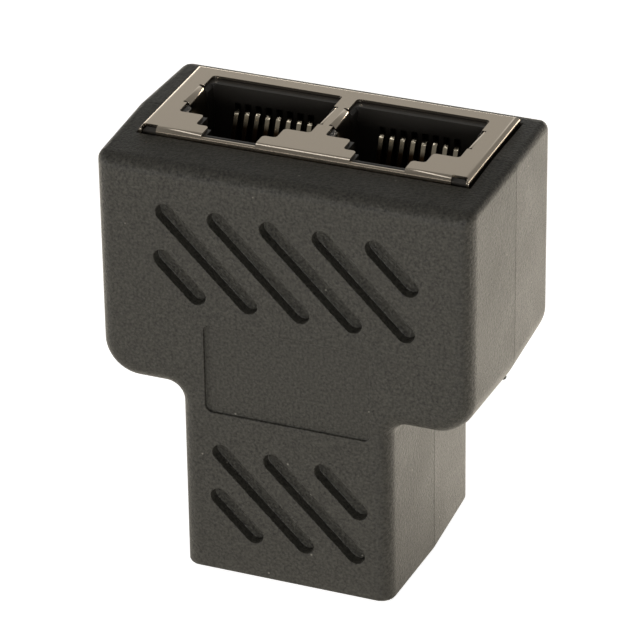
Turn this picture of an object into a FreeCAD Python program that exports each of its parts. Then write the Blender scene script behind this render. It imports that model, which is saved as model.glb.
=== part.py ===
import FreeCAD, Part
import math
import os
from FreeCAD import Vector

# A splitter adapter for network cables: one shielded socket below is wired to two sockets above.
# A two-part moulded casing, wide at its head and narrow at its stem, closes over the sockets and
# the small board that joins them.
# Millimetres. X runs to the right, Y from the front face to the back, Z up.
# The origin is at the middle of the base, on which the lower socket's plate rests.

# Shields, folded from thin sheet
sheet = 0.25
bend_radius = 0.5           # outside of a fold
seam = 0.15                 # gap where two folded walls meet
lip_length = 3.0            # wall folded down over the mouth's front edge
lip_step = 0.25             # across a latch slot the lip ends this far below the plate
relief_width = 1.4          # notch beside each end of the lip
relief_depth = 0.55
rear_flap_start = 3.2       # the rear wall ends this far above the board
jack_height = 13.35         # from the board to the back of the shield
upper_jack_length = 18.0    # from the mouth to the rear
lower_jack_length = 18.0
port_pitch = 14.0           # between the two upper sockets
upper_side_strip = 2.22     # plate outside the outer cut-outs
lower_side_strip = 1.6

# Cut-out in a shield's plate, measured up from the board
cut_width = 12.6
cut_back = 11.67
cut_front = 3.82
wide_slot = 7.7             # first step of the latch slot
narrow_slot = 5.15          # second step
slot_step = 1.89            # where the second step starts
cut_corner = 0.35
small_flats = 4             # flats in a quarter turn of a small round that repeats

# Grounding springs, folded down into the mouth at both sides of a cut-out
spring_front = 5.95
spring_width = 3.3
spring_setback = 0.4        # the fold starts this far outside the cut-out
spring_fold = 0.45          # middle radius of the fold
spring_lean = 8.0           # degrees towards the middle of the port
spring_run = 3.0
spring_toe = 0.8            # end that turns outwards again
spring_toe_turn = 24.0
spring_relief = 0.25

# Plastic sockets
jack_fit = 0.05             # between a socket and its shield
cavity_width = 11.8
cavity_height = 6.7
cavity_front = 4.0          # above the board
cavity_depth = 12.8
mouth_chamfer = 0.3
latch_width = 7.2
latch_mouth = 4.7
latch_floor = 0.5
latch_catch = 1.8           # wall that the plug's latch hooks behind
latch_depth = 10.5
spring_pocket_depth = 5.2
spring_pocket_gap = 0.15
peg_diameter = 2.4
peg_inset = 2.7             # from the side of the shield
peg_depth = 9.2             # from the mouth
peg_out = 0.7               # past the board
foot_size = 3.6

# Contacts, stamped strip bent to shape
contact_count = 8
contact_pitch = 1.016
contact_width = 0.4
contact_thickness = 0.25
contact_level = 11.32       # middle of the run along the back wall, above the board
contact_crest = 2.6         # from the mouth to the top of the turn
contact_turn = 0.5          # middle radius of the turn
contact_turn_creases = 4    # the turn is bent in this many even steps
contact_bend = 0.35         # length cut off the rear bend's corner
contact_slant = 25.0        # degrees between the free leg and the way in
contact_end = 11.9          # from the mouth to the end of the free leg
tail_near = 14.2            # depth of the near row of tails
tail_row_gap = 2.0
tail_out = 1.0              # past the board
slot_gap = 0.1              # round a contact in its slot
slot_bend_gap = 0.2         # on the inner side of its rear bend
slot_start = 1.9            # wall in front of the contact slots
slot_back = 0.25            # space behind a contact's run

# Contact carriers
carrier_fit = 0.05
carrier_width = 10.4
carrier_foot = 1.0          # above the board
carrier_back = 0.35         # plastic behind the contacts
tail_cover = 0.5            # plastic behind the far row of tails
comb_length = 1.6
comb_tooth = 0.44
comb_height = 2.0

# Circuit board
board_thickness = 1.6
board_gap = 0.4             # from the end of the lips
tail_hole = 0.8
tail_hole_sides = 6
peg_hole_sides = 16
peg_hole_gap = 0.1
pin_width = 1.4             # shield pins
pin_depth = 6.0             # from the mouth
pin_out = 0.8
pin_gap = 0.2
board_corner = 0.8
board_shoulder_corner = 2.2

# Casing
fit_gap = 0.2               # between the sockets and the casing
lip_gap = 0.15              # in front of the shields
side_wall = 2.22
front_wall = 2.0
back_wall = 2.3
solder_room = 1.65          # in front of the board
end_wall = 2.2
shoulder_wall = 2.0
shoulder_room = 3.15        # between the upper sockets and the shoulders' floor
jack_gap = 5.9              # between the upper and lower sockets
upper_proud = 0.53          # the upper sockets' plate stands this far out of the casing
lower_proud = 0.15
front_shell_depth = 10.8
draft_angle = 1.5
head_corner = 0.8
shoulder_corner = 3.5
neck_fillet = 1.5
edge_round = 1.6
top_round = 1.2             # the same edge's height along the top
edge_steps = 6              # the round of the edge is lofted in this many steps
base_round = 0.4
tongue_width = 0.9
tongue_height = 0.8
tongue_gap = 0.1
boss_gap = 0.2
boss_inset = 3.0            # from the side of the cavity to the middle of a boss
pin_diameter = 1.4
pin_press = 0.02
pin_length = 6.0
stop_thickness = 1.2
stop_reach = 6.5
standoff_size = 2.4
standoff_inset = 2.6
standoff_drop = 5.5         # from the end of the casing

# Grip grooves and the bare recess on the front face
groove_pitch = 4.93
groove_width = 1.75
groove_depth = 1.1
upper_field_width = 24.5
upper_field_height = 9.0
upper_field_level = 32.6
lower_field_width = 14.7
lower_field_height = 9.2
lower_field_level = 9.05
face_shift = 0.35           # grooves and recess sit this far right of the middle
recess_width = 15.8
recess_height = 8.85
recess_level = 21.55
recess_depth = 0.3
recess_corner = 0.7

# Sizes that follow
upper_width = port_pitch + cut_width + 2 * upper_side_strip
lower_width = cut_width + 2 * lower_side_strip
overall_height = upper_jack_length + jack_gap + lower_jack_length
head_width = upper_width + 2 * (fit_gap + side_wall)
stem_width = lower_width + 2 * (fit_gap + side_wall)
casing_depth = front_wall + solder_room + board_thickness + jack_height + fit_gap + back_wall
front_y = -casing_depth / 2
back_y = casing_depth / 2
parting_y = front_y + front_shell_depth
front_inside = front_y + front_wall
back_inside = back_y - back_wall
board_y = front_inside + solder_room
jack_y = board_y + board_thickness
casing_base = lower_proud
casing_top = overall_height - upper_proud
upper_rear = overall_height - upper_jack_length
shoulder_floor = upper_rear - shoulder_room
shoulder_level = shoulder_floor - shoulder_wall
head_inside = upper_width / 2 + fit_gap
stem_inside = lower_width / 2 + fit_gap
boss_x = head_inside - boss_inset
boss_z = (upper_rear + shoulder_floor) / 2
boss_diameter = shoulder_room - 2 * boss_gap
cavity_back = cavity_front + cavity_height
tail_far = tail_near + tail_row_gap
cut_margin = 1.0            # how far a cutting tool runs past the face that it opens


def box(x0, x1, y0, y1, z0, z1):
    return Part.makeBox(x1 - x0, y1 - y0, z1 - z0, Vector(x0, y0, z0))


def rod(diameter, start, direction, length):
    return Part.makeCylinder(diameter / 2, length, start, direction)


def many_sided_rod(diameter, sides, start, direction, length):
    """A plain prism of as many flat sides as asked, for holes that repeat often."""
    turn = 2 * math.pi / sides
    reach = diameter / 2 / math.cos(turn / 2)
    angles = [(i + 0.5) * turn for i in range(sides)]
    corners = [start + Vector(math.cos(a), 0, math.sin(a)) * reach for a in angles]
    return prism(Part.makePolygon(corners + corners[:1]), direction * length)


def corner_rounds(corners, radii, count):
    """For each corner, points along its round from its start to its end: count + 1 of them."""
    points = [Vector(a, b, 0) for a, b in corners]
    rounds = []
    for i, radius in enumerate(radii):
        here = points[i]
        if radius == 0:
            rounds.append([here])
            continue
        towards_last = (points[i - 1] - here).normalize()
        towards_next = (points[(i + 1) % len(points)] - here).normalize()
        half_angle = towards_last.getAngle(towards_next) / 2
        centre = here + (towards_last + towards_next).normalize() * (radius / math.sin(half_angle))
        spoke = here + towards_last * (radius / math.tan(half_angle)) - centre
        turn = math.pi - 2 * half_angle
        if towards_last.cross(towards_next).z > 0:
            turn = -turn
        start = math.atan2(spoke.y, spoke.x)
        angles = [start + turn * k / count for k in range(count + 1)]
        rounds.append([centre + Vector(math.cos(t), math.sin(t), 0) * radius for t in angles])
    return rounds


def rounded_outline(corners, radii, place, flats=0):
    """A closed outline through the corners, each rounded by its own radius. place turns (a, b) into a point.
    A round is a true arc, or as many flats as asked, for small rounds that repeat."""
    rounds = corner_rounds(corners, radii, flats or 2)
    edges = []
    for i, points in enumerate(rounds):
        start, end = place(rounds[i - 1][-1]), place(points[0])
        if start.distanceToPoint(end) > 1e-6:
            edges.append(Part.LineSegment(start, end).toShape())
        placed = [place(p) for p in points]
        if radii[i] > 0 and not flats:
            edges.append(Part.Arc(placed[0], placed[1], placed[2]).toShape())
        elif radii[i] > 0:
            edges += [Part.LineSegment(a, b).toShape() for a, b in zip(placed, placed[1:])]
    return Part.Wire(Part.__sortEdges__(edges))


def tapered_block(outline, end):
    """A solid with flat faces between two outlines that have their corners in the same order."""
    faces = [Part.Face(Part.makePolygon(o + o[:1])) for o in (outline, end)]
    for i in range(len(outline)):
        around = [outline[i - 1], outline[i], end[i], end[i - 1]]
        faces.append(Part.Face(Part.makePolygon(around + around[:1])))
    block = Part.Solid(Part.Shell(faces)).removeSplitter()
    return block if block.Volume > 0 else block.reversed()


def at_depth(y):
    return lambda p: Vector(p.x, y, p.y)


def at_height(z):
    return lambda p: Vector(p.x, p.y, z)


def prism(wire, direction):
    return Part.Face(wire).extrude(direction)


def bent_strip(start, heading, moves, thickness, place, across):
    """A strip bent along a path. A number is a straight run, a pair is a bend's angle in degrees and its
    middle radius, and a bend of radius 0 is a sharp crease. across is the strip's width as a vector."""
    half = thickness / 2
    point = Vector(start[0], start[1], 0)
    angle = math.radians(heading)
    left, right = [], []
    crease_before = 0.0

    def beside(at, direction, side, crease):
        """The strip's edge beside a point of its path, on the crease's own line where there is one."""
        turned = direction + crease / 2
        return at + Vector(-math.sin(turned), math.cos(turned), 0) * (side * half / math.cos(crease / 2))

    for i, move in enumerate(moves):
        if not isinstance(move, tuple):
            end = point + Vector(math.cos(angle), math.sin(angle), 0) * move
            following = moves[i + 1] if i + 1 < len(moves) else None
            crease = math.radians(following[0]) if isinstance(following, tuple) and following[1] == 0 else 0.0
            for edges, side in ((left, 1), (right, -1)):
                a = beside(point, angle, side, -crease_before)
                b = beside(end, angle, side, crease)
                edges.append(Part.LineSegment(place(a), place(b)).toShape())
            point = end
            crease_before = 0.0
        elif move[1] == 0:
            angle += math.radians(move[0])
            crease_before = math.radians(move[0])
        else:
            sweep, radius = math.radians(move[0]), move[1]
            turn = 1 if sweep > 0 else -1
            centre = point + Vector(-math.sin(angle), math.cos(angle), 0) * (turn * radius)

            def on_bend(side, part):
                to = angle + sweep * part - turn * math.pi / 2
                return centre + Vector(math.cos(to), math.sin(to), 0) * (radius - turn * side * half)

            for edges, side in ((left, 1), (right, -1)):
                bend = [place(on_bend(side, part)) for part in (0, 0.5, 1)]
                edges.append(Part.Arc(bend[0], bend[1], bend[2]).toShape())
            point = on_bend(0, 1)
            angle += sweep
    ends = [(left[0].firstVertex(), right[0].firstVertex()), (left[-1].lastVertex(), right[-1].lastVertex())]
    caps = [Part.LineSegment(a.Point, b.Point).toShape() for a, b in ends]
    wire = Part.Wire(Part.__sortEdges__(left + right + caps))
    strip = prism(wire, across)
    strip.translate(across * -0.5)
    return strip


# A socket is made with its mouth at z = 0 facing up, its rear at -length, and the board's face at y = 0.

def cut_out(middle):
    """The opening in a shield's plate: a wide port with a latch slot in two steps at its front."""
    wide, step, narrow = cut_width / 2, wide_slot / 2, narrow_slot / 2
    corners = [(middle - wide, cut_back), (middle - wide, cut_front), (middle - step, cut_front)]
    corners += [(middle - step, slot_step), (middle - narrow, slot_step), (middle - narrow, sheet)]
    corners += [(2 * middle - a, b) for a, b in reversed(corners)]
    radii = [cut_corner] * 5 + [0.0, 0.0] + [cut_corner] * 5
    wire = rounded_outline(corners, radii, at_height(-bend_radius), small_flats)
    return prism(wire, Vector(0, 0, bend_radius + cut_margin))


def spring_reliefs(middle):
    """Small notches at both ends of each grounding spring's fold."""
    tools = []
    outer = cut_width / 2 + spring_setback
    for side in (-1, 1):
        x0, x1 = sorted((middle + side * outer, middle + side * (cut_width / 2 - cut_corner)))
        for y in (spring_front - spring_relief, spring_front + spring_width):
            tools.append(box(x0, x1, y, y + spring_relief, -bend_radius, cut_margin))
        tools.append(box(x0, x1, spring_front, spring_front + spring_width, -bend_radius, cut_margin))
    return tools


def springs(middle):
    """The two grounding springs of one port."""
    made = []
    for side in (-1, 1):
        moves = [(90.0 - spring_lean, spring_fold), spring_run, (spring_toe_turn, 0), spring_toe]
        outer = cut_width / 2 + spring_setback

        def place(p, side=side):
            return Vector(middle + side * (outer - p.x), spring_front + spring_width / 2, -sheet / 2 - p.y)

        made.append(bent_strip((0, 0), 0, moves, sheet, place, Vector(0, spring_width, 0)))
    return made


def shield(width, length, middles):
    """A folded shield: a plate with the cut-outs, walls at the sides, back and rear, and a lip in front."""
    half = width / 2
    outer = box(-half, half, 0, jack_height, -length, 0)
    folds = [e for e in outer.Edges if min(v.Z for v in e.Vertexes) > -sheet]
    back, rear = jack_height - sheet, -length + sheet
    folds += [e for e in outer.Edges if all(v.Y > back and v.Z < rear for v in e.Vertexes)]
    outer = outer.makeFillet(bend_radius, folds)
    inner = box(-half + sheet, half - sheet, sheet, back, rear, -sheet)
    folds = [e for e in inner.Edges if min(v.Z for v in e.Vertexes) > -2 * sheet]
    inner = inner.makeFillet(bend_radius - sheet, folds)
    tools = [inner]
    tools.append(box(-half + sheet, half - sheet, -cut_margin, sheet, -length - cut_margin, -lip_length))
    tools.append(box(-half + sheet, half - sheet, 0, rear_flap_start, -length - cut_margin, -length + sheet))
    for side in (-1, 1):
        x0, x1 = sorted((side * (half - sheet), side * (half + cut_margin)))
        tools.append(box(x0, x1, back - seam, back, -length - cut_margin, -bend_radius))
        x0, x1 = sorted((side * (half - sheet - seam), side * (half - sheet)))
        tools.append(box(x0, x1, 0, jack_height - bend_radius, -length - cut_margin, -length + sheet))
        x0, x1 = sorted((side * (half - sheet - relief_width), side * (half - sheet)))
        tools.append(box(x0, x1, -cut_margin, relief_depth, -lip_length - cut_margin, cut_margin))
    for middle in middles:
        tools.append(cut_out(middle))
        slot = narrow_slot / 2
        tools.append(box(middle - slot, middle + slot, -cut_margin, sheet, -lip_step, cut_margin))
        tools += spring_reliefs(middle)
    made = outer.cut(tools)
    added = [s for middle in middles for s in springs(middle)]
    for side in (-1, 1):
        x0, x1 = sorted((side * (half - sheet), side * half))
        pin_end = -board_thickness - pin_out
        added.append(box(x0, x1, pin_end, sheet, -pin_depth - pin_width / 2, -pin_depth + pin_width / 2))
    return made.fuse(added).removeSplitter()


def contact_places(middle):
    """Each contact's x, and the depth of its tail, near and far by turns."""
    first = middle - (contact_count - 1) * contact_pitch / 2
    return [(first + i * contact_pitch, tail_near if i % 2 else tail_far) for i in range(contact_count)]


def contact(x, tail):
    """One contact: a tail up from the board, a run along the back wall, a tight turn and the free leg."""
    foot = -board_thickness - tail_out
    turn_depth = contact_crest + contact_turn + contact_thickness / 2
    slant = math.radians(contact_slant)
    leg_start = turn_depth - contact_turn * math.sin(slant)
    leg = (contact_end - leg_start) / math.cos(slant)
    rise = contact_level - contact_bend - foot
    run = tail - contact_bend - turn_depth
    corner = contact_bend * math.sqrt(2)
    step = (180.0 - contact_slant) / contact_turn_creases
    side = 2 * contact_turn * math.tan(math.radians(step) / 2)
    moves = [rise, (45.0, 0), corner, (45.0, 0), run + side / 2]
    for _ in range(contact_turn_creases - 1):
        moves += [(step, 0), side]
    moves += [(step, 0), leg + side / 2]
    return bent_strip((foot, -tail), 0, moves, contact_thickness,
                      lambda p: Vector(x, p.x, p.y), Vector(contact_width, 0, 0))


def leg_level(depth):
    """How far above the board the free leg's middle is, at a depth from the mouth."""
    turn_depth = contact_crest + contact_turn + contact_thickness / 2
    slant = math.radians(contact_slant)
    start = turn_depth - contact_turn * math.sin(slant)
    level = contact_level - contact_turn - contact_turn * math.cos(slant)
    return level - (depth - start) * math.tan(slant)


def carrier(middle, length):
    """The block that holds one port's contacts, with a comb that keeps their free ends apart."""
    half = carrier_width / 2 - carrier_fit
    top = contact_level + contact_thickness / 2 + carrier_back
    front = cavity_depth + carrier_fit
    rear = tail_far + contact_thickness / 2 + tail_cover
    rear = min(rear, length - sheet - jack_fit)
    body = box(middle - half, middle + half, carrier_foot, top, -rear, -front)
    teeth = []
    end_level = leg_level(contact_end)
    for i in range(contact_count + 1):
        x = middle + (i - contact_count / 2) * contact_pitch
        teeth.append(box(x - comb_tooth / 2, x + comb_tooth / 2, end_level - comb_height / 2,
                         end_level + comb_height / 2, -front, -front + comb_length))
    body = body.fuse(teeth)
    tools = []
    side = contact_width / 2 + slot_gap
    outer = contact_thickness / 2 + slot_gap
    inner = contact_thickness / 2 + slot_bend_gap
    for x, tail in contact_places(middle):
        x0, x1 = x - side, x + side
        tools.append(box(x0, x1, 0, contact_level + outer, -tail - outer, -tail + inner))
        tools.append(box(x0, x1, contact_level - inner, contact_level + outer, -tail, 0))
    return body.cut(tools).removeSplitter()


def port_space(middle):
    """The space inside one port: the plug's room, the latch's room, slots for contacts and springs."""
    top = -sheet - jack_fit
    half = cavity_width / 2
    latch, mouth = latch_width / 2, latch_mouth / 2
    floor = sheet + jack_fit + latch_floor
    deep = -cavity_depth - carrier_fit
    tools = [box(middle - half, middle + half, cavity_front, cavity_back, deep, cut_margin)]
    tools.append(box(middle - latch, middle + latch, slot_step, cavity_front, -latch_depth, cut_margin))
    tools.append(box(middle - mouth, middle + mouth, floor, slot_step, -latch_catch, cut_margin))
    tools.append(box(middle - latch, middle + latch, floor, slot_step, -latch_depth, -latch_catch))
    pocket = cut_width / 2 + spring_setback + spring_pocket_gap
    y0, y1 = spring_front - spring_pocket_gap, spring_front + spring_width + spring_pocket_gap
    tools.append(box(middle - pocket, middle + pocket, y0, y1, -spring_pocket_depth, cut_margin))
    side = contact_width / 2 + slot_gap
    slot_top = contact_level + contact_thickness / 2 + slot_back
    for x, tail in contact_places(middle):
        x0, x1 = x - side, x + side
        tools.append(box(x0, x1, cavity_back - slot_gap, slot_top, deep - slot_gap, -slot_start))
    lead = half + mouth_chamfer
    wide = [(-lead, cavity_back), (-lead, cavity_front), (lead, cavity_front), (lead, cavity_back)]
    narrow = [(-half, cavity_back), (-half, cavity_front), (half, cavity_front), (half, cavity_back)]
    start = [Vector(middle + x, y, top) for x, y in wide]
    end = [Vector(middle + x, y, top - mouth_chamfer) for x, y in narrow]
    tools.append(tapered_block(start, end))
    return tools


def housing(width, length, middles):
    """A plastic socket block inside its shield, with pegs and feet towards the board."""
    half = width / 2 - sheet - jack_fit
    front = sheet + jack_fit
    rear = length - sheet - jack_fit
    body = box(-half, half, front, jack_height - front, -rear, -front)
    mouth_edges = [e for e in body.Edges if min(v.Z for v in e.Vertexes) > -front - jack_fit]
    body = body.makeChamfer(bend_radius - sheet, mouth_edges)
    tools = []
    for middle in middles:
        tools += port_space(middle)
        pocket = carrier_width / 2
        top = contact_level + contact_thickness / 2 + carrier_back + carrier_fit
        tools.append(box(middle - pocket, middle + pocket, 0, top, -rear - cut_margin, -cavity_depth))
    body = body.cut(tools)
    added = []
    for side in (-1, 1):
        base = Vector(side * (width / 2 - peg_inset), front, -peg_depth)
        away = Vector(0, -1, 0)
        foot = foot_size / 2
        added.append(box(base.x - foot, base.x + foot, 0, front, base.z - foot, base.z + foot))
        added.append(rod(peg_diameter, base, away, front + board_thickness + peg_out))
    return body.fuse(added).removeSplitter()


def facing_up(shape):
    shape = shape.copy()
    shape.translate(Vector(0, jack_y, overall_height))
    return shape


def facing_down(shape):
    shape = shape.copy()
    shape.rotate(Vector(0, 0, 0), Vector(0, 1, 0), 180)
    shape.translate(Vector(0, jack_y, 0))
    return shape


# The board

def circuit_board():
    """The board that joins the sockets, as wide as the upper sockets above and the lower one below."""
    head, stem = upper_width / 2, lower_width / 2
    start = lip_length + board_gap
    low, high = start, overall_height - start
    step = shoulder_floor + fit_gap
    corners = [(-stem, low), (stem, low), (stem, step), (head, step)]
    corners += [(head, high), (-head, high), (-head, step), (-stem, step)]
    near, far = board_corner, board_shoulder_corner
    radii = [near, near, near, far, near, near, far, near]
    board = prism(rounded_outline(corners, radii, at_depth(board_y)), Vector(0, board_thickness, 0))
    through = Vector(0, 1, 0)
    length = board_thickness + 2 * cut_margin
    y = board_y - cut_margin
    tools = []
    for middle in (-port_pitch / 2, port_pitch / 2):
        for x, tail in contact_places(middle):
            hole = Vector(x, y, overall_height - tail)
            tools.append(many_sided_rod(tail_hole, tail_hole_sides, hole, through, length))
    for x, tail in contact_places(0):
        tools.append(many_sided_rod(tail_hole, tail_hole_sides, Vector(-x, y, tail), through, length))
    for side in (-1, 1):
        for half, level in ((head, overall_height - peg_depth), (stem, peg_depth)):
            peg = Vector(side * (half - peg_inset), y, level)
            hole = peg_diameter + 2 * peg_hole_gap
            tools.append(many_sided_rod(hole, peg_hole_sides, peg, through, length))
        for half, level in ((head, overall_height - pin_depth), (stem, pin_depth)):
            x0, x1 = sorted((side * (half - sheet - pin_gap), side * (half + cut_margin)))
            reach = pin_width / 2 + pin_gap
            tools.append(box(x0, x1, y, y + length, level - reach, level + reach))
        pin = Vector(side * boss_x, y, boss_z)
        tools.append(many_sided_rod(pin_diameter + 2 * peg_hole_gap, peg_hole_sides, pin, through, length))
    return board.cut(tools)


# The casing

def casing_outline(inset, rounding, y):
    """The casing's outline, moved inwards by the draft's inset and by the rounding of its edge so far."""
    moved = inset + rounding
    head, stem = head_width / 2 - moved, stem_width / 2 - moved
    done = rounding / edge_round
    top, base = casing_top - inset - done * top_round, casing_base + inset + done * base_round
    shoulder = shoulder_level + moved
    right = [(stem, base), (stem, shoulder), (head, shoulder), (head, top)]
    radii = [base_round, neck_fillet + rounding, shoulder_corner - rounding, head_corner * (1 - done / 2)]
    corners = right + [(-x, z) for x, z in reversed(right)]
    return rounded_outline(corners, radii + radii[::-1], at_depth(y))


def cavity_outline(grow, y):
    """The outline of the room inside the casing, grown by grow."""
    head, stem = head_inside + grow, stem_inside + grow
    top, base = casing_top - end_wall + grow, casing_base + end_wall - grow
    shoulder = shoulder_floor - grow
    corners = [(-stem, base), (stem, base), (stem, shoulder), (head, shoulder)]
    corners += [(head, top), (-head, top), (-head, shoulder), (-stem, shoulder)]
    neck, lower = neck_fillet + shoulder_wall - grow, shoulder_corner - side_wall + grow
    radii = [0.0, 0.0, neck, lower, 0.0, 0.0, lower, neck]
    return rounded_outline(corners, radii, at_depth(y))


def outer_form(face_y):
    """One shell's outer form as a solid block: drafted from the parting plane, then rounded to its face."""
    away = 1 if face_y > parting_y else -1
    straight = abs(face_y - parting_y) - edge_round
    inset = straight * math.tan(math.radians(draft_angle))
    outlines = [casing_outline(0.0, 0.0, parting_y)]
    for i in range(edge_steps + 1):
        angle = math.radians(90.0 * i / edge_steps)
        y = parting_y + away * (straight + edge_round * math.sin(angle))
        outlines.append(casing_outline(inset, edge_round * (1 - math.cos(angle)), y))
    return Part.makeLoft(outlines, True, True)


def mouth_cuts():
    """Openings in the casing's two ends, which fit closely round the shields."""
    y0, y1 = jack_y - lip_gap, back_inside
    reach = end_wall + cut_margin
    upper = box(-head_inside, head_inside, y0, y1, casing_top - reach, casing_top + cut_margin)
    lower = box(-stem_inside, stem_inside, y0, y1, casing_base - cut_margin, casing_base + reach)
    return [upper, lower]


def tongue(grow, height):
    """The lip along the parting edge, seen from the back shell towards the front."""
    outer = prism(cavity_outline(tongue_width + grow, parting_y), Vector(0, -height, 0))
    inner = prism(cavity_outline(0, parting_y), Vector(0, -height, 0))
    return outer.cut([inner])


def groove(start, end):
    """One grip groove between two tips: a slot with round ends."""
    (x0, z0), (x1, z1) = start, end
    along = Vector(x1 - x0, 0, z1 - z0)
    reach, half = along.Length / 2, groove_width / 2
    along.normalize()
    across = Vector(-along.z, 0, along.x)
    middle = Vector((x0 + x1) / 2, front_y - cut_margin, (z0 + z1) / 2)
    corners = [(-reach, -half), (reach, -half), (reach, half), (-reach, half)]
    wire = rounded_outline(corners, [half] * 4, lambda p: middle + along * p.x + across * p.y, small_flats)
    return prism(wire, Vector(0, cut_margin + groove_depth, 0))


def groove_field(width, height, level, first, count):
    """Slanting grooves at an even pitch, cut short where they reach the sides of the field."""
    made = []
    for i in range(count):
        offset = (first + i) * groove_pitch
        top, bottom = height / 2, -height / 2
        x0, x1 = offset - top, offset - bottom
        left, right = max(x0, -width / 2), min(x1, width / 2)
        tips = [(x + face_shift, level + offset - x) for x in (left, right)]
        made.append(groove(*tips))
    return made


def recess():
    x0, x1 = face_shift - recess_width / 2, face_shift + recess_width / 2
    z0, z1 = recess_level - recess_height / 2, recess_level + recess_height / 2
    corners = [(x0, z0), (x1, z0), (x1, z1), (x0, z1)]
    wire = rounded_outline(corners, [recess_corner] * 4, at_depth(front_y - cut_margin))
    return prism(wire, Vector(0, cut_margin + recess_depth, 0))


def front_shell():
    """The front half of the casing, with the grooves, standoffs for the board and two press pins."""
    shell = outer_form(front_y)
    room = prism(cavity_outline(0, front_inside), Vector(0, front_shell_depth, 0))
    shell = shell.cut([room] + mouth_cuts() + [tongue(tongue_gap, tongue_height + tongue_gap)])
    reach = board_y - front_inside
    added = []
    for side in (-1, 1):
        base = Vector(side * boss_x, front_inside, boss_z)
        added.append(rod(pin_diameter, base, Vector(0, 1, 0), reach + board_thickness + pin_length))
        rests = [(boss_x, boss_z), (head_inside - standoff_inset, casing_top - standoff_drop)]
        rests.append((stem_inside - standoff_inset, casing_base + standoff_drop))
        for x, z in rests:
            x0, x1 = side * x - standoff_size / 2, side * x + standoff_size / 2
            added.append(box(x0, x1, front_inside, board_y, z - standoff_size / 2, z + standoff_size / 2))
    shell = shell.fuse(added)
    upper = groove_field(upper_field_width, upper_field_height, upper_field_level, -2.5, 6)
    lower = groove_field(lower_field_width, lower_field_height, lower_field_level, -1.5, 4)
    return shell.cut(upper + lower + [recess()]).removeSplitter()


def back_shell():
    """The back half of the casing, with a tongue, two bosses for the pins and stops behind the sockets."""
    shell = outer_form(back_y)
    room = prism(cavity_outline(0, parting_y), Vector(0, back_inside - parting_y, 0))
    shell = shell.cut([room])
    added = [tongue(0, tongue_height)]
    away = Vector(0, -1, 0)
    for side in (-1, 1):
        base = Vector(side * boss_x, back_inside, boss_z)
        added.append(rod(boss_diameter, base, away, back_inside - jack_y - pin_gap))
    stop_y = back_inside - stop_reach
    half = stem_inside
    top = upper_rear - fit_gap
    added.append(box(-half + side_wall, half - side_wall, stop_y, back_inside, top - stop_thickness, top))
    low = lower_jack_length + fit_gap
    added.append(box(-half, half, stop_y, back_inside, low, low + stop_thickness))
    shell = shell.fuse(added)
    tools = mouth_cuts()
    for side in (-1, 1):
        mouth = Vector(side * boss_x, jack_y, boss_z)
        tools.append(rod(pin_diameter + 2 * pin_press, mouth, Vector(0, 1, 0), pin_length + boss_gap))
    return shell.cut(tools).removeSplitter()


def save(name, shape):
    solids = shape.Solids
    if len(solids) == 1:
        shape = solids[0]
    shape.exportStep("parts/" + name + ".step")
    print(f"{name}: {len(solids)} solid, {shape.Volume:.2f} mm3, valid {shape.isValid()}")


def main():
    os.makedirs("parts", exist_ok=True)
    save("front_shell", front_shell())
    save("back_shell", back_shell())
    save("circuit_board", circuit_board())
    upper = {"left": -port_pitch / 2, "right": port_pitch / 2}
    save("upper_shield", facing_up(shield(upper_width, upper_jack_length, list(upper.values()))))
    save("upper_housing", facing_up(housing(upper_width, upper_jack_length, list(upper.values()))))
    for name, middle in upper.items():
        save(f"upper_{name}_contact_carrier", facing_up(carrier(middle, upper_jack_length)))
        for i, (x, tail) in enumerate(contact_places(middle)):
            save(f"upper_{name}_contact_{i + 1}", facing_up(contact(x, tail)))
    save("lower_shield", facing_down(shield(lower_width, lower_jack_length, [0.0])))
    save("lower_housing", facing_down(housing(lower_width, lower_jack_length, [0.0])))
    save("lower_contact_carrier", facing_down(carrier(0.0, lower_jack_length)))
    for i, (x, tail) in enumerate(contact_places(0.0)):
        save(f"lower_contact_{i + 1}", facing_down(contact(x, tail)))
    print(f"overall {head_width:.2f} x {casing_depth:.2f} x {overall_height:.2f}")


main()
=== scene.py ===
# %% [markdown]
# # A network splitter adapter
#
# This lesson dresses a small plastic adapter: one socket below, two side by side above, and a casing
# between them that is wide at its head and narrow at its stem. The solids come from a CAD model, which
# holds every size. Here each of them gets the finish that its real counterpart has: moulded plastic,
# plated sheet steel, gold contacts. The first cell loads the solids and keeps their overall box.

# %% Load the solids
import bpy
import bmesh
import math
from mathutils import Euler, Matrix, Vector


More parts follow.
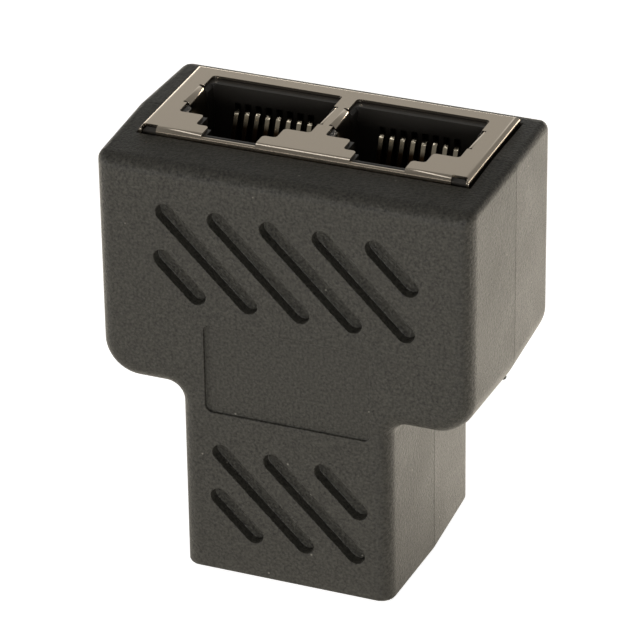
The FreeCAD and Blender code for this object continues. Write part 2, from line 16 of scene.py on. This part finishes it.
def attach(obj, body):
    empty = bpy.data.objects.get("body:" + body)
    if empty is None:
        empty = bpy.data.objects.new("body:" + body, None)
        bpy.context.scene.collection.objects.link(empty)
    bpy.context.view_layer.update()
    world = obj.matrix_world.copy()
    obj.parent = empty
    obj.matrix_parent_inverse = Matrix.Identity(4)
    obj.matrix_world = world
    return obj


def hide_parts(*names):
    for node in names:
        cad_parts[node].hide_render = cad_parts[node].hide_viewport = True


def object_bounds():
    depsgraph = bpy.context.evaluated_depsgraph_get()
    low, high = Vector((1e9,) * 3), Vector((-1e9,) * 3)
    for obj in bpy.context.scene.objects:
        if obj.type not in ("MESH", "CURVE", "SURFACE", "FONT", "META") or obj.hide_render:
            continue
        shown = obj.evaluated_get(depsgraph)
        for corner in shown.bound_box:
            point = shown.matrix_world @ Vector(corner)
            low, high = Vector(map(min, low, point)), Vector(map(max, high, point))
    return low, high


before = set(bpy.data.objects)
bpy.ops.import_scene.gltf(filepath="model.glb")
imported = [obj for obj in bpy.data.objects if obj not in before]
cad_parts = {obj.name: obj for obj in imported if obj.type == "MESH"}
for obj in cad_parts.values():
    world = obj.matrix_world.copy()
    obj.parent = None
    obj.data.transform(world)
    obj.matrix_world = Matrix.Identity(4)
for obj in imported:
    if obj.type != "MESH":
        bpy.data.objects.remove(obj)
cad_box = [list(corner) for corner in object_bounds()]
MM = 0.001
print("nodes", len(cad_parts))
print("overall, mm", [round((b - a) / MM, 2) for a, b in zip(*cad_box)])

# %% [markdown]
# A colour is written as it looks on a screen, in sRGB hex, and Blender calculates with linear light, so
# one function turns the first into the second. Another small one adds a shader node, sets its values
# and links its sockets, which keeps each material short enough to read at a glance.

# %% Colours and shader nodes
def linear(hex_colour):
    channels = [int(hex_colour[i:i + 2], 16) / 255 for i in (1, 3, 5)]
    return [c / 12.92 if c <= 0.04045 else ((c + 0.055) / 1.055) ** 2.4 for c in channels] + [1.0]


def add(tree, kind, settings=None, links=None):
    """Adds a node. A setting is a socket's name or number, or else one of the node's own properties."""
    node = tree.nodes.new(kind)
    for name, value in (settings or {}).items():
        if isinstance(name, int) or name in node.inputs:
            node.inputs[name].default_value = value
        else:
            setattr(node, name, value)
    for name, source in (links or {}).items():
        tree.links.new(source, node.inputs[name])
    return node


def new_material(name):
    """An empty material with its output node."""
    material = bpy.data.materials.new(name)
    material.use_nodes = True
    material.node_tree.nodes.clear()
    return material, material.node_tree, material.node_tree.nodes.new("ShaderNodeOutputMaterial")


print("mid grey on a screen is", round(linear("#808080")[0], 3), "of white in linear light")

# %% [markdown]
# The camera stands where the photographer stood. Small products are photographed from far away through a
# long lens, which keeps their edges nearly parallel: here it is 31 cm in front, 13 cm to the right and
# 21 cm up, with a lens of 237 mm on a 36 mm sensor.

# %% Camera
CAMERA_PLACE = Vector((125.56, -308.92, 206.10)) * MM
CAMERA_TURN = (61.159, 0.718, 21.825)
camera_data = bpy.data.cameras.new("camera")
camera_data.lens = 236.9
camera_data.sensor_width = 36.0
camera_data.clip_start = 0.01
camera = bpy.data.objects.new("camera", camera_data)
camera.location = CAMERA_PLACE
camera.rotation_euler = Euler([math.radians(a) for a in CAMERA_TURN], "XYZ")
bpy.context.scene.collection.objects.link(camera)
bpy.context.scene.camera = camera
bpy.context.scene.view_settings.view_transform = "Standard"
print("camera stands", round(camera.location.length / MM), "mm from the middle of the base")

# %% [markdown]
# Product pictures are often taken on paper so brightly lit that it has no tone of its own. The floor is
# such a sheet. It takes the adapter's shadow and has a glow added for what the camera sees of it, so it
# is white there without more light on the adapter. Mirror-like surfaces see a second glow, which is a
# painted reflection: warm, faint in front of the adapter and brighter than white behind it, where no
# lamp stands. It paints the pale sheen on the casing's right side.

# %% White paper
SEEN_GLOW = 0.88
FRONT_PAINTED_REFLECTION = 0.55
BACK_PAINTED_REFLECTION = 2.7
TOWARDS_STRONGER_REFLECTION = (0.1, 1.0, 0.0)
PAINTED_REFLECTION_REACH = 15 * MM
paper, tree, output = new_material("white_paper")
path = add(tree, "ShaderNodeLightPath")
seen = add(tree, "ShaderNodeMath", {"operation": "MULTIPLY", 1: SEEN_GLOW},
           {0: path.outputs["Is Camera Ray"]})
white = add(tree, "ShaderNodeEmission", None, {"Strength": seen.outputs[0]})
mirrored = add(tree, "ShaderNodeMath", {"operation": "MAXIMUM"},
               {0: path.outputs["Is Glossy Ray"], 1: path.outputs["Is Transmission Ray"]})
place = add(tree, "ShaderNodeTexCoord")
along = add(tree, "ShaderNodeVectorMath", {"operation": "DOT_PRODUCT", 1: TOWARDS_STRONGER_REFLECTION},
            {0: place.outputs["Object"]})
sheen = add(tree, "ShaderNodeMapRange",
            {"From Min": -PAINTED_REFLECTION_REACH, "From Max": PAINTED_REFLECTION_REACH,
             "To Min": FRONT_PAINTED_REFLECTION, "To Max": BACK_PAINTED_REFLECTION},
            {"Value": along.outputs["Value"]})
strength = add(tree, "ShaderNodeMath", {"operation": "MULTIPLY"},
               {0: mirrored.outputs[0], 1: sheen.outputs["Result"]})
# The warm glow is a painted reflection: only mirror-like rays see it, and it makes the casing's right side
# pale.
warm = add(tree, "ShaderNodeEmission", {"Color": linear("#FFF5E4")}, {"Strength": strength.outputs[0]})
diffuse = add(tree, "ShaderNodeBsdfDiffuse", {"Color": linear("#EDEDEC")})
glow = add(tree, "ShaderNodeAddShader", None, {0: white.outputs[0], 1: warm.outputs[0]})
both = add(tree, "ShaderNodeAddShader", None, {0: diffuse.outputs[0], 1: glow.outputs[0]})
tree.links.new(both.outputs[0], output.inputs["Surface"])
print(paper.name, "mirrored at", FRONT_PAINTED_REFLECTION, "in front and", BACK_PAINTED_REFLECTION, "behind")

# %% Floor
PAPER_SIZE = 6.0
mesh = bpy.data.meshes.new("floor")
bm = bmesh.new()
bmesh.ops.create_grid(bm, x_segments=1, y_segments=1, size=PAPER_SIZE / 2)
bm.to_mesh(mesh)
bm.free()
mesh.materials.append(paper)
floor = bpy.data.objects.new("floor", mesh)
bpy.context.scene.collection.objects.link(floor)
print("floor", PAPER_SIZE, "m wide")

# %% [markdown]
# The wall behind the table is pale at its left, and the rest of the room is dim. Metal shows whatever
# lies where it is turned to, so this is what makes the flat tops of the shields pale and their folded
# edges dark, and leaves the insides of the sockets black. A direction is weighed by how far it points
# back, left and down, and a ramp turns that into the brightness of the room there.

# %% Room
TOWARDS_WALL = (-0.35, 0.75, -0.45)
ROOM_LEVELS = ((0.0, 0.12), (0.5, 0.22), (0.68, 0.26), (0.77, 0.43), (0.9, 0.9))
WARM_TINT = (1.0, 0.98, 0.93)
world = bpy.data.worlds.new("room")
bpy.context.scene.world = world
world.use_nodes = True
tree = world.node_tree
direction = add(tree, "ShaderNodeTexCoord")
facing = add(tree, "ShaderNodeVectorMath", {"operation": "DOT_PRODUCT", 1: TOWARDS_WALL},
             {0: direction.outputs["Generated"]})
weight = add(tree, "ShaderNodeMapRange", {"From Min": -1.0}, {"Value": facing.outputs["Value"]})
shade = add(tree, "ShaderNodeValToRGB", None, {"Fac": weight.outputs["Result"]})
stops = shade.color_ramp.elements
for i, (position, level) in enumerate(ROOM_LEVELS):
    stop = stops[i] if i < 2 else stops.new(position)
    stop.position = position
    stop.color = [level * tint for tint in WARM_TINT] + [1.0]
tree.links.new(shade.outputs["Color"], tree.nodes["Background"].inputs["Color"])
print("room levels", ROOM_LEVELS)

# %% [markdown]
# Three soft lamps stand in that room. Two are low over the table, one to the left and one in front, so
# they light the front face and the floors of its grooves but not the insides of the sockets, and leave
# the rounded corner at the right dark. A narrow one overhead draws the bright lines along the folds of
# the sheet metal. Each is given by its place and its two sides in millimetres, and its power in watts.

# %% Lamps
LAMPS = (("left_light", (-760, -480, 110), (300, 300), 3.4),
         ("front_fill", (230, -860, 70), (300, 300), 5.4),
         ("overhead_strip", (-150, -110, 700), (700, 90), 0.34))
AIM = Vector((0, 0, 21)) * MM
for name, place, sides, power in LAMPS:
    lamp = bpy.data.lights.new(name, "AREA")
    lamp.shape = "RECTANGLE"
    lamp.size = sides[0] * MM
    lamp.size_y = sides[1] * MM
    lamp.energy = power
    holder = bpy.data.objects.new(name, lamp)
    holder.location = Vector(place) * MM
    holder.rotation_euler = (AIM - holder.location).to_track_quat("-Z", "Y").to_euler()
    bpy.context.scene.collection.objects.link(holder)
    print(name, power, "W at", round((holder.location - AIM).length / MM), "mm")

# %% [markdown]
# The casing is ABS, moulded in a steel tool whose walls were spark-eroded. The sparks leave shallow pits
# a fraction of a millimetre wide all over the part, which scatter light and give a dry charcoal look
# that turns pale where the surface is seen at a slant. On the right side, much of that pale sheen is the
# painted reflection of the paper. Two layers of noise draw the pitted surface: one for the pits and a
# wide one for how the plastic filled the tool. The real pits are about 0.15 mm wide, and are drawn at
# 0.25 mm so that they show. Smooth ABS has an IOR of 1.53. It is lower here, because the pits trap part
# of what the surface would mirror. A few pale specks are dust, which such a surface keeps.

# %% Spark-eroded ABS
PIT_WIDTH = 0.25 * MM
PIT_DEPTH = 0.11 * MM
PITTED_IOR = 1.36
FLOW_WIDTH = 6.0 * MM
NOISE_LOW = 0.3
NOISE_HIGH = 0.7
SPECK_PITCH = 2.6 * MM
SPECK_RIM = 0.042
SPECK_CORE = 0.03
abs_plastic, tree, output = new_material("spark_eroded_abs")
place = add(tree, "ShaderNodeTexCoord")
pits = add(tree, "ShaderNodeTexNoise", {"Scale": 1 / PIT_WIDTH, "Detail": 3.0, "Roughness": 0.6},
           {"Vector": place.outputs["Object"]})
flow = add(tree, "ShaderNodeTexNoise", {"Scale": 1 / FLOW_WIDTH, "Detail": 2.0},
           {"Vector": place.outputs["Object"]})
tone = add(tree, "ShaderNodeValToRGB", None, {"Fac": pits.outputs["Fac"]})
tone.color_ramp.elements[0].position = NOISE_LOW
tone.color_ramp.elements[0].color = linear("#201E1B")
tone.color_ramp.elements[1].position = NOISE_HIGH
tone.color_ramp.elements[1].color = linear("#494740")
specks = add(tree, "ShaderNodeTexVoronoi", {"Scale": 1 / SPECK_PITCH}, {"Vector": place.outputs["Object"]})
dust = add(tree, "ShaderNodeMapRange", {"From Min": SPECK_RIM, "From Max": SPECK_CORE},
           {"Value": specks.outputs["Distance"]})
dusty = add(tree, "ShaderNodeMix", {"data_type": "RGBA", "B": linear("#78746B")},
            {"Factor": dust.outputs["Result"], "A": tone.outputs["Color"]})
gloss = add(tree, "ShaderNodeMapRange",
            {"From Min": NOISE_LOW, "From Max": NOISE_HIGH, "To Min": 0.44, "To Max": 0.50},
            {"Value": flow.outputs["Fac"]})
bump = add(tree, "ShaderNodeBump", {"Strength": 1.0, "Distance": PIT_DEPTH},
           {"Height": pits.outputs["Fac"]})
shader = add(tree, "ShaderNodeBsdfPrincipled", {"IOR": PITTED_IOR},
             {"Base Color": dusty.outputs["Result"], "Roughness": gloss.outputs["Result"],
              "Normal": bump.outputs["Normal"]})
tree.links.new(shader.outputs[0], output.inputs["Surface"])
print(abs_plastic.name, "with pits", round(PIT_WIDTH / MM, 2), "mm wide")

# %% [markdown]
# The shields are folded from thin steel plated with nickel. Nickel is a warm grey metal, and the sheet
# keeps fine lines from the rolling mill along its length, so its mirror image is drawn out into a
# satin sheen. The lines are a noise that is stretched twenty times along X.

# %% Nickel-plated sheet
LINE_WIDTH = 0.08 * MM
LINE_DEPTH = 0.005 * MM
LINE_STRETCH = 20
nickel, tree, output = new_material("nickel_plated_steel")
place = add(tree, "ShaderNodeTexCoord")
stretch = add(tree, "ShaderNodeMapping", {"Scale": (1 / LINE_STRETCH, 1.0, 1.0)},
              {"Vector": place.outputs["Object"]})
lines = add(tree, "ShaderNodeTexNoise", {"Scale": 1 / LINE_WIDTH, "Detail": 2.0},
            {"Vector": stretch.outputs[0]})
bump = add(tree, "ShaderNodeBump", {"Strength": 0.12, "Distance": LINE_DEPTH},
           {"Height": lines.outputs["Fac"]})
sheen = add(tree, "ShaderNodeMapRange", {"To Min": 0.15, "To Max": 0.21}, {"Value": lines.outputs["Fac"]})
shader = add(tree, "ShaderNodeBsdfPrincipled", {"Base Color": linear("#D2C6B6"), "Metallic": 1.0},
             {"Roughness": sheen.outputs["Result"], "Normal": bump.outputs["Normal"]})
tree.links.new(shader.outputs[0], output.inputs["Surface"])
print(nickel.name, "with lines", round(LINE_WIDTH / MM, 2), "mm wide")

# %% [markdown]
# Inside each shield sits a socket block of PBT, the tough plastic that holds solder heat. It is moulded in
# a polished tool, so it is smoother than the casing, and nearly black.

# %% PBT
GRAIN_WIDTH = 0.4 * MM
GRAIN_DEPTH = 0.01 * MM
pbt, tree, output = new_material("black_pbt")
place = add(tree, "ShaderNodeTexCoord")
grain = add(tree, "ShaderNodeTexNoise", {"Scale": 1 / GRAIN_WIDTH, "Detail": 2.0},
            {"Vector": place.outputs["Object"]})
bump = add(tree, "ShaderNodeBump", {"Strength": 0.1, "Distance": GRAIN_DEPTH},
           {"Height": grain.outputs["Fac"]})
shader = add(tree, "ShaderNodeBsdfPrincipled",
             {"Base Color": linear("#2B2824"), "Roughness": 0.38, "IOR": 1.5},
             {"Normal": bump.outputs["Normal"]})
tree.links.new(shader.outputs[0], output.inputs["Surface"])
print(pbt.name, "with a grain of", round(GRAIN_WIDTH / MM, 2), "mm")

# %% [markdown]
# The contacts are springs of phosphor bronze with a gold finish. Their colour is painted by height: pale
# at the turn near the mouth of each socket, which is a painted highlight, and dark brown on the legs
# below, which is painted shade. The upper sockets open upwards and the lower one downwards, so the pale
# part starts at the same distance above and below the middle of the adapter.

# %% Contact colour, with painted highlight and shade
MIDDLE_HEIGHT = (cad_box[0][2] + cad_box[1][2]) / 2
PALE_TURN_STARTS = 17.1 * MM
PALE_TURN_FULL = 17.6 * MM
WEAR_WIDTH = 0.5 * MM
gold, tree, output = new_material("gold_with_painted_light_and_shade")
place = add(tree, "ShaderNodeTexCoord")
axes = add(tree, "ShaderNodeSeparateXYZ", None, {0: place.outputs["Object"]})
above = add(tree, "ShaderNodeMath", {"operation": "SUBTRACT", 1: MIDDLE_HEIGHT}, {0: axes.outputs["Z"]})
reach = add(tree, "ShaderNodeMath", {"operation": "ABSOLUTE"}, {0: above.outputs[0]})
# Painted highlight and shade: by height alone, the turn is coloured pale and the legs dark brown.
painted_turn_mask = add(tree, "ShaderNodeMapRange", {"From Min": PALE_TURN_STARTS, "From Max": PALE_TURN_FULL},
             {"Value": reach.outputs[0]})
lit_and_shaded_colour = add(tree, "ShaderNodeMix", {"data_type": "RGBA", "A": linear("#6A5138"), "B": linear("#F0E4CC")},
             {"Factor": painted_turn_mask.outputs["Result"]})
wear = add(tree, "ShaderNodeTexNoise", {"Scale": 1 / WEAR_WIDTH, "Detail": 2.0},
           {"Vector": place.outputs["Object"]})
sheen = add(tree, "ShaderNodeMapRange", {"To Min": 0.16, "To Max": 0.24}, {"Value": wear.outputs["Fac"]})
shader = add(tree, "ShaderNodeBsdfPrincipled", {"Metallic": 1.0},
             {"Base Color": lit_and_shaded_colour.outputs["Result"], "Roughness": sheen.outputs["Result"]})
tree.links.new(shader.outputs[0], output.inputs["Surface"])
print(gold.name, "golden from", round(PALE_TURN_STARTS / MM, 1), "mm off the middle")

# %% [markdown]
# The board that joins the sockets is glass-filled epoxy under a green lacquer, which shows the weave of
# the glass a little. Nobody sees it in a closed adapter, but it is there.

# %% Lacquered laminate
WEAVE_WIDTH = 0.6 * MM
lacquer, tree, output = new_material("lacquered_laminate")
place = add(tree, "ShaderNodeTexCoord")
weave = add(tree, "ShaderNodeTexNoise", {"Scale": 1 / WEAVE_WIDTH}, {"Vector": place.outputs["Object"]})
tone = add(tree, "ShaderNodeValToRGB", None, {"Fac": weave.outputs["Fac"]})
tone.color_ramp.elements[0].color = linear("#1B4A2C")
tone.color_ramp.elements[1].color = linear("#24603A")
shader = add(tree, "ShaderNodeBsdfPrincipled", {"Roughness": 0.3, "IOR": 1.5},
             {"Base Color": tone.outputs["Color"]})
tree.links.new(shader.outputs[0], output.inputs["Surface"])
print(lacquer.name, "with a weave of", round(WEAVE_WIDTH / MM, 2), "mm")

# %% [markdown]
# CAD solids have knife edges where two faces meet, and real parts don't: a moulded rim is rounded by its
# tool, and a cut sheet by its punch. A copy of the solid is merged into one skin and its flat faces are
# joined. The work is done in millimetres, because the mesh tools lose precision on very small numbers.

# %% Merged copies
MERGE_DISTANCE = 0.0005
FLAT_WITHIN = math.radians(0.5)


def merged_copy(node):
    """A solid's mesh in millimetres, merged into one skin with its flat faces joined."""
    bm = bmesh.new()
    bm.from_mesh(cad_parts[node].data)
    bmesh.ops.scale(bm, vec=(1 / MM,) * 3, verts=bm.verts)
    bmesh.ops.remove_doubles(bm, verts=bm.verts, dist=MERGE_DISTANCE)
    bmesh.ops.dissolve_limit(bm, angle_limit=FLAT_WITHIN, verts=bm.verts, edges=bm.edges)
    return bm


print("triangles in the solids", sum(len(node.data.polygons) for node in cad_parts.values()))

# %% [markdown]
# Each sharp edge of a copy gets a narrow bevel that catches the light. Weighted normals keep the flat
# faces flat beside their bevels. The finished piece rides on the adapter's one body and is shown in
# place of its solid.

# %% Softened edges
SMOOTH_ANGLE = math.radians(28)
EVEN_WEIGHT = 50


def bevel(bm, edges, width, segments=2):
    bmesh.ops.bevel(bm, geom=edges, offset=width, offset_type="OFFSET", segments=segments, profile=0.5,
                    affect="EDGES", clamp_overlap=True, material=-1)


def finished(bm, node, name, finish):
    """Makes a piece of a mesh in millimetres. It stands in for the solid called node, if one is given."""
    bmesh.ops.scale(bm, vec=(MM,) * 3, verts=bm.verts)
    mesh = bpy.data.meshes.new(name)
    bm.to_mesh(mesh)
    bm.free()
    mesh.materials.append(finish)
    mesh.shade_smooth()
    mesh.set_sharp_from_angle(angle=SMOOTH_ANGLE)
    piece = bpy.data.objects.new(name, mesh)
    weighted = piece.modifiers.new("flat faces stay flat", "WEIGHTED_NORMAL")
    weighted.weight = EVEN_WEIGHT
    weighted.keep_sharp = True
    bpy.context.scene.collection.objects.link(piece)
    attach(piece, "root")
    if node:
        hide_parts(node)
    return piece


def softened(node, name, width, finish, wider=None):
    """Stands a copy of a solid in for it, with bevels of a width in mm along its sharp edges.

    wider is a second width and a test that says which edges get it."""
    bm = merged_copy(node)
    sharp = [e for e in bm.edges if e.is_manifold and e.calc_face_angle() > SMOOTH_ANGLE]
    if wider:
        wider_width, chosen = wider
        rims = [e for e in sharp if chosen(e)]
        sharp = [e for e in sharp if not chosen(e)]
        bevel(bm, sharp, width)
        rims = [e for e in rims if e.is_valid]
        bevel(bm, rims, wider_width, segments=3)
        print(len(rims), "rims rounded")
    else:
        bevel(bm, sharp, width)
    piece = finished(bm, node, name, finish)
    print(name, len(sharp), "edges softened,", len(piece.data.polygons), "faces")


print("edges are softened from", round(math.degrees(SMOOTH_ANGLE)), "degrees")

# %% [markdown]
# The two halves of the casing meet at a parting line. Their rims are rounded like every other edge, and
# the two roundings side by side make the thin dark channel that runs round such a part. The rims of the
# grooves and of the recess are softer than the rest, and are found by lying in the plane of the front.

# %% Casing halves
CASING_EDGE = 0.08
RIM_WIDTH = 0.26
FACE = cad_box[0][1] / MM
IN_PLANE = 0.02


def in_the_face(edge):
    return all(abs(v.co.y - FACE) < IN_PLANE for v in edge.verts)


softened("front_shell", "casing_front_half", CASING_EDGE, abs_plastic,
         wider=(RIM_WIDTH, in_the_face))
softened("back_shell", "casing_back_half", CASING_EDGE, abs_plastic)

# %% [markdown]
# Where the halves of a mould meet, a little hot plastic creeps out between them. It is trimmed off, and
# here a crumb is left at the right shoulder: a small ball, squashed flat along the parting line. The
# spot is the point of the casing's outline above the stem that reaches furthest down and to the right,
# and the crumb is turned to lie along the outline there.

# %% Crumb of flash
CRUMB_RADII = (0.34, 0.09, 0.24)
SHOULDER_SLOPE = math.radians(-45)
ABOVE_STEM = 15.0
bm = bmesh.new()
bmesh.ops.create_icosphere(bm, subdivisions=2, radius=1.0)
bmesh.ops.scale(bm, vec=CRUMB_RADII, verts=bm.verts)
bmesh.ops.rotate(bm, matrix=Matrix.Rotation(SHOULDER_SLOPE, 3, "Y"), verts=bm.verts)
points = [v.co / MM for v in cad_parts["back_shell"].data.vertices]
corner = max((p for p in points if p.z > ABOVE_STEM), key=lambda p: p.x - p.z)
bmesh.ops.translate(bm, vec=corner, verts=bm.verts)
finished(bm, None, "casing_flash_crumb", abs_plastic)
print("crumb of flash at, mm", [round(c, 2) for c in corner])

# %% [markdown]
# A shield is cut and folded from sheet 0.25 mm thick, so its edges are hardly rounded at all. The socket
# block behind it is moulded, with edges a little softer.

# %% Shields and socket blocks
SHEET_EDGE = 0.03
BLOCK_EDGE = 0.05
for end in ("upper", "lower"):
    softened(f"{end}_shield", f"{end}_folded_shield", SHEET_EDGE, nickel)
    softened(f"{end}_housing", f"{end}_socket_block", BLOCK_EDGE, pbt)

# %% [markdown]
# A contact is a strip stamped from thin bronze and bent over at its top, where it springs against the
# plug. In the CAD model the turn is made of a few flats. Here the creases between them are bevelled
# widely, which makes the turn round, and then the long edges narrowly, as a stamping tool leaves them.
# Creases are told from edges by their angle, which is small for the first and near a right angle for
# the second.

# %% Contacts
CREASE_WIDTH = 0.15
STAMPED_EDGE = 0.05
LEAST_CREASE = 0.2
LEAST_EDGE = 1.0
contacts = [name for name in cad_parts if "contact_" in name and not name.endswith("carrier")]
for node in contacts:
    bm = merged_copy(node)
    creases = [e for e in bm.edges if e.is_manifold and LEAST_CREASE < e.calc_face_angle() < LEAST_EDGE]
    bevel(bm, creases, CREASE_WIDTH, segments=3)
    sharp = [e for e in bm.edges if e.is_manifold and e.calc_face_angle() > LEAST_EDGE]
    bevel(bm, sharp, STAMPED_EDGE)
    finished(bm, node, node.replace("contact", "spring_contact"), gold)
print(len(contacts), "contacts")

# %% [markdown]
# The contact carriers lie in the dark of the sockets, and the board is shut away inside the casing, so
# those solids are shown as they are, each with its own finish.

# %% Hidden pieces
hidden = {name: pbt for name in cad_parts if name.endswith("carrier")}
hidden["circuit_board"] = lacquer
for name, finish in hidden.items():
    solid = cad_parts[name].data
    solid.materials.clear()
    solid.materials.append(finish)
print("shown as they are:", ", ".join(hidden))
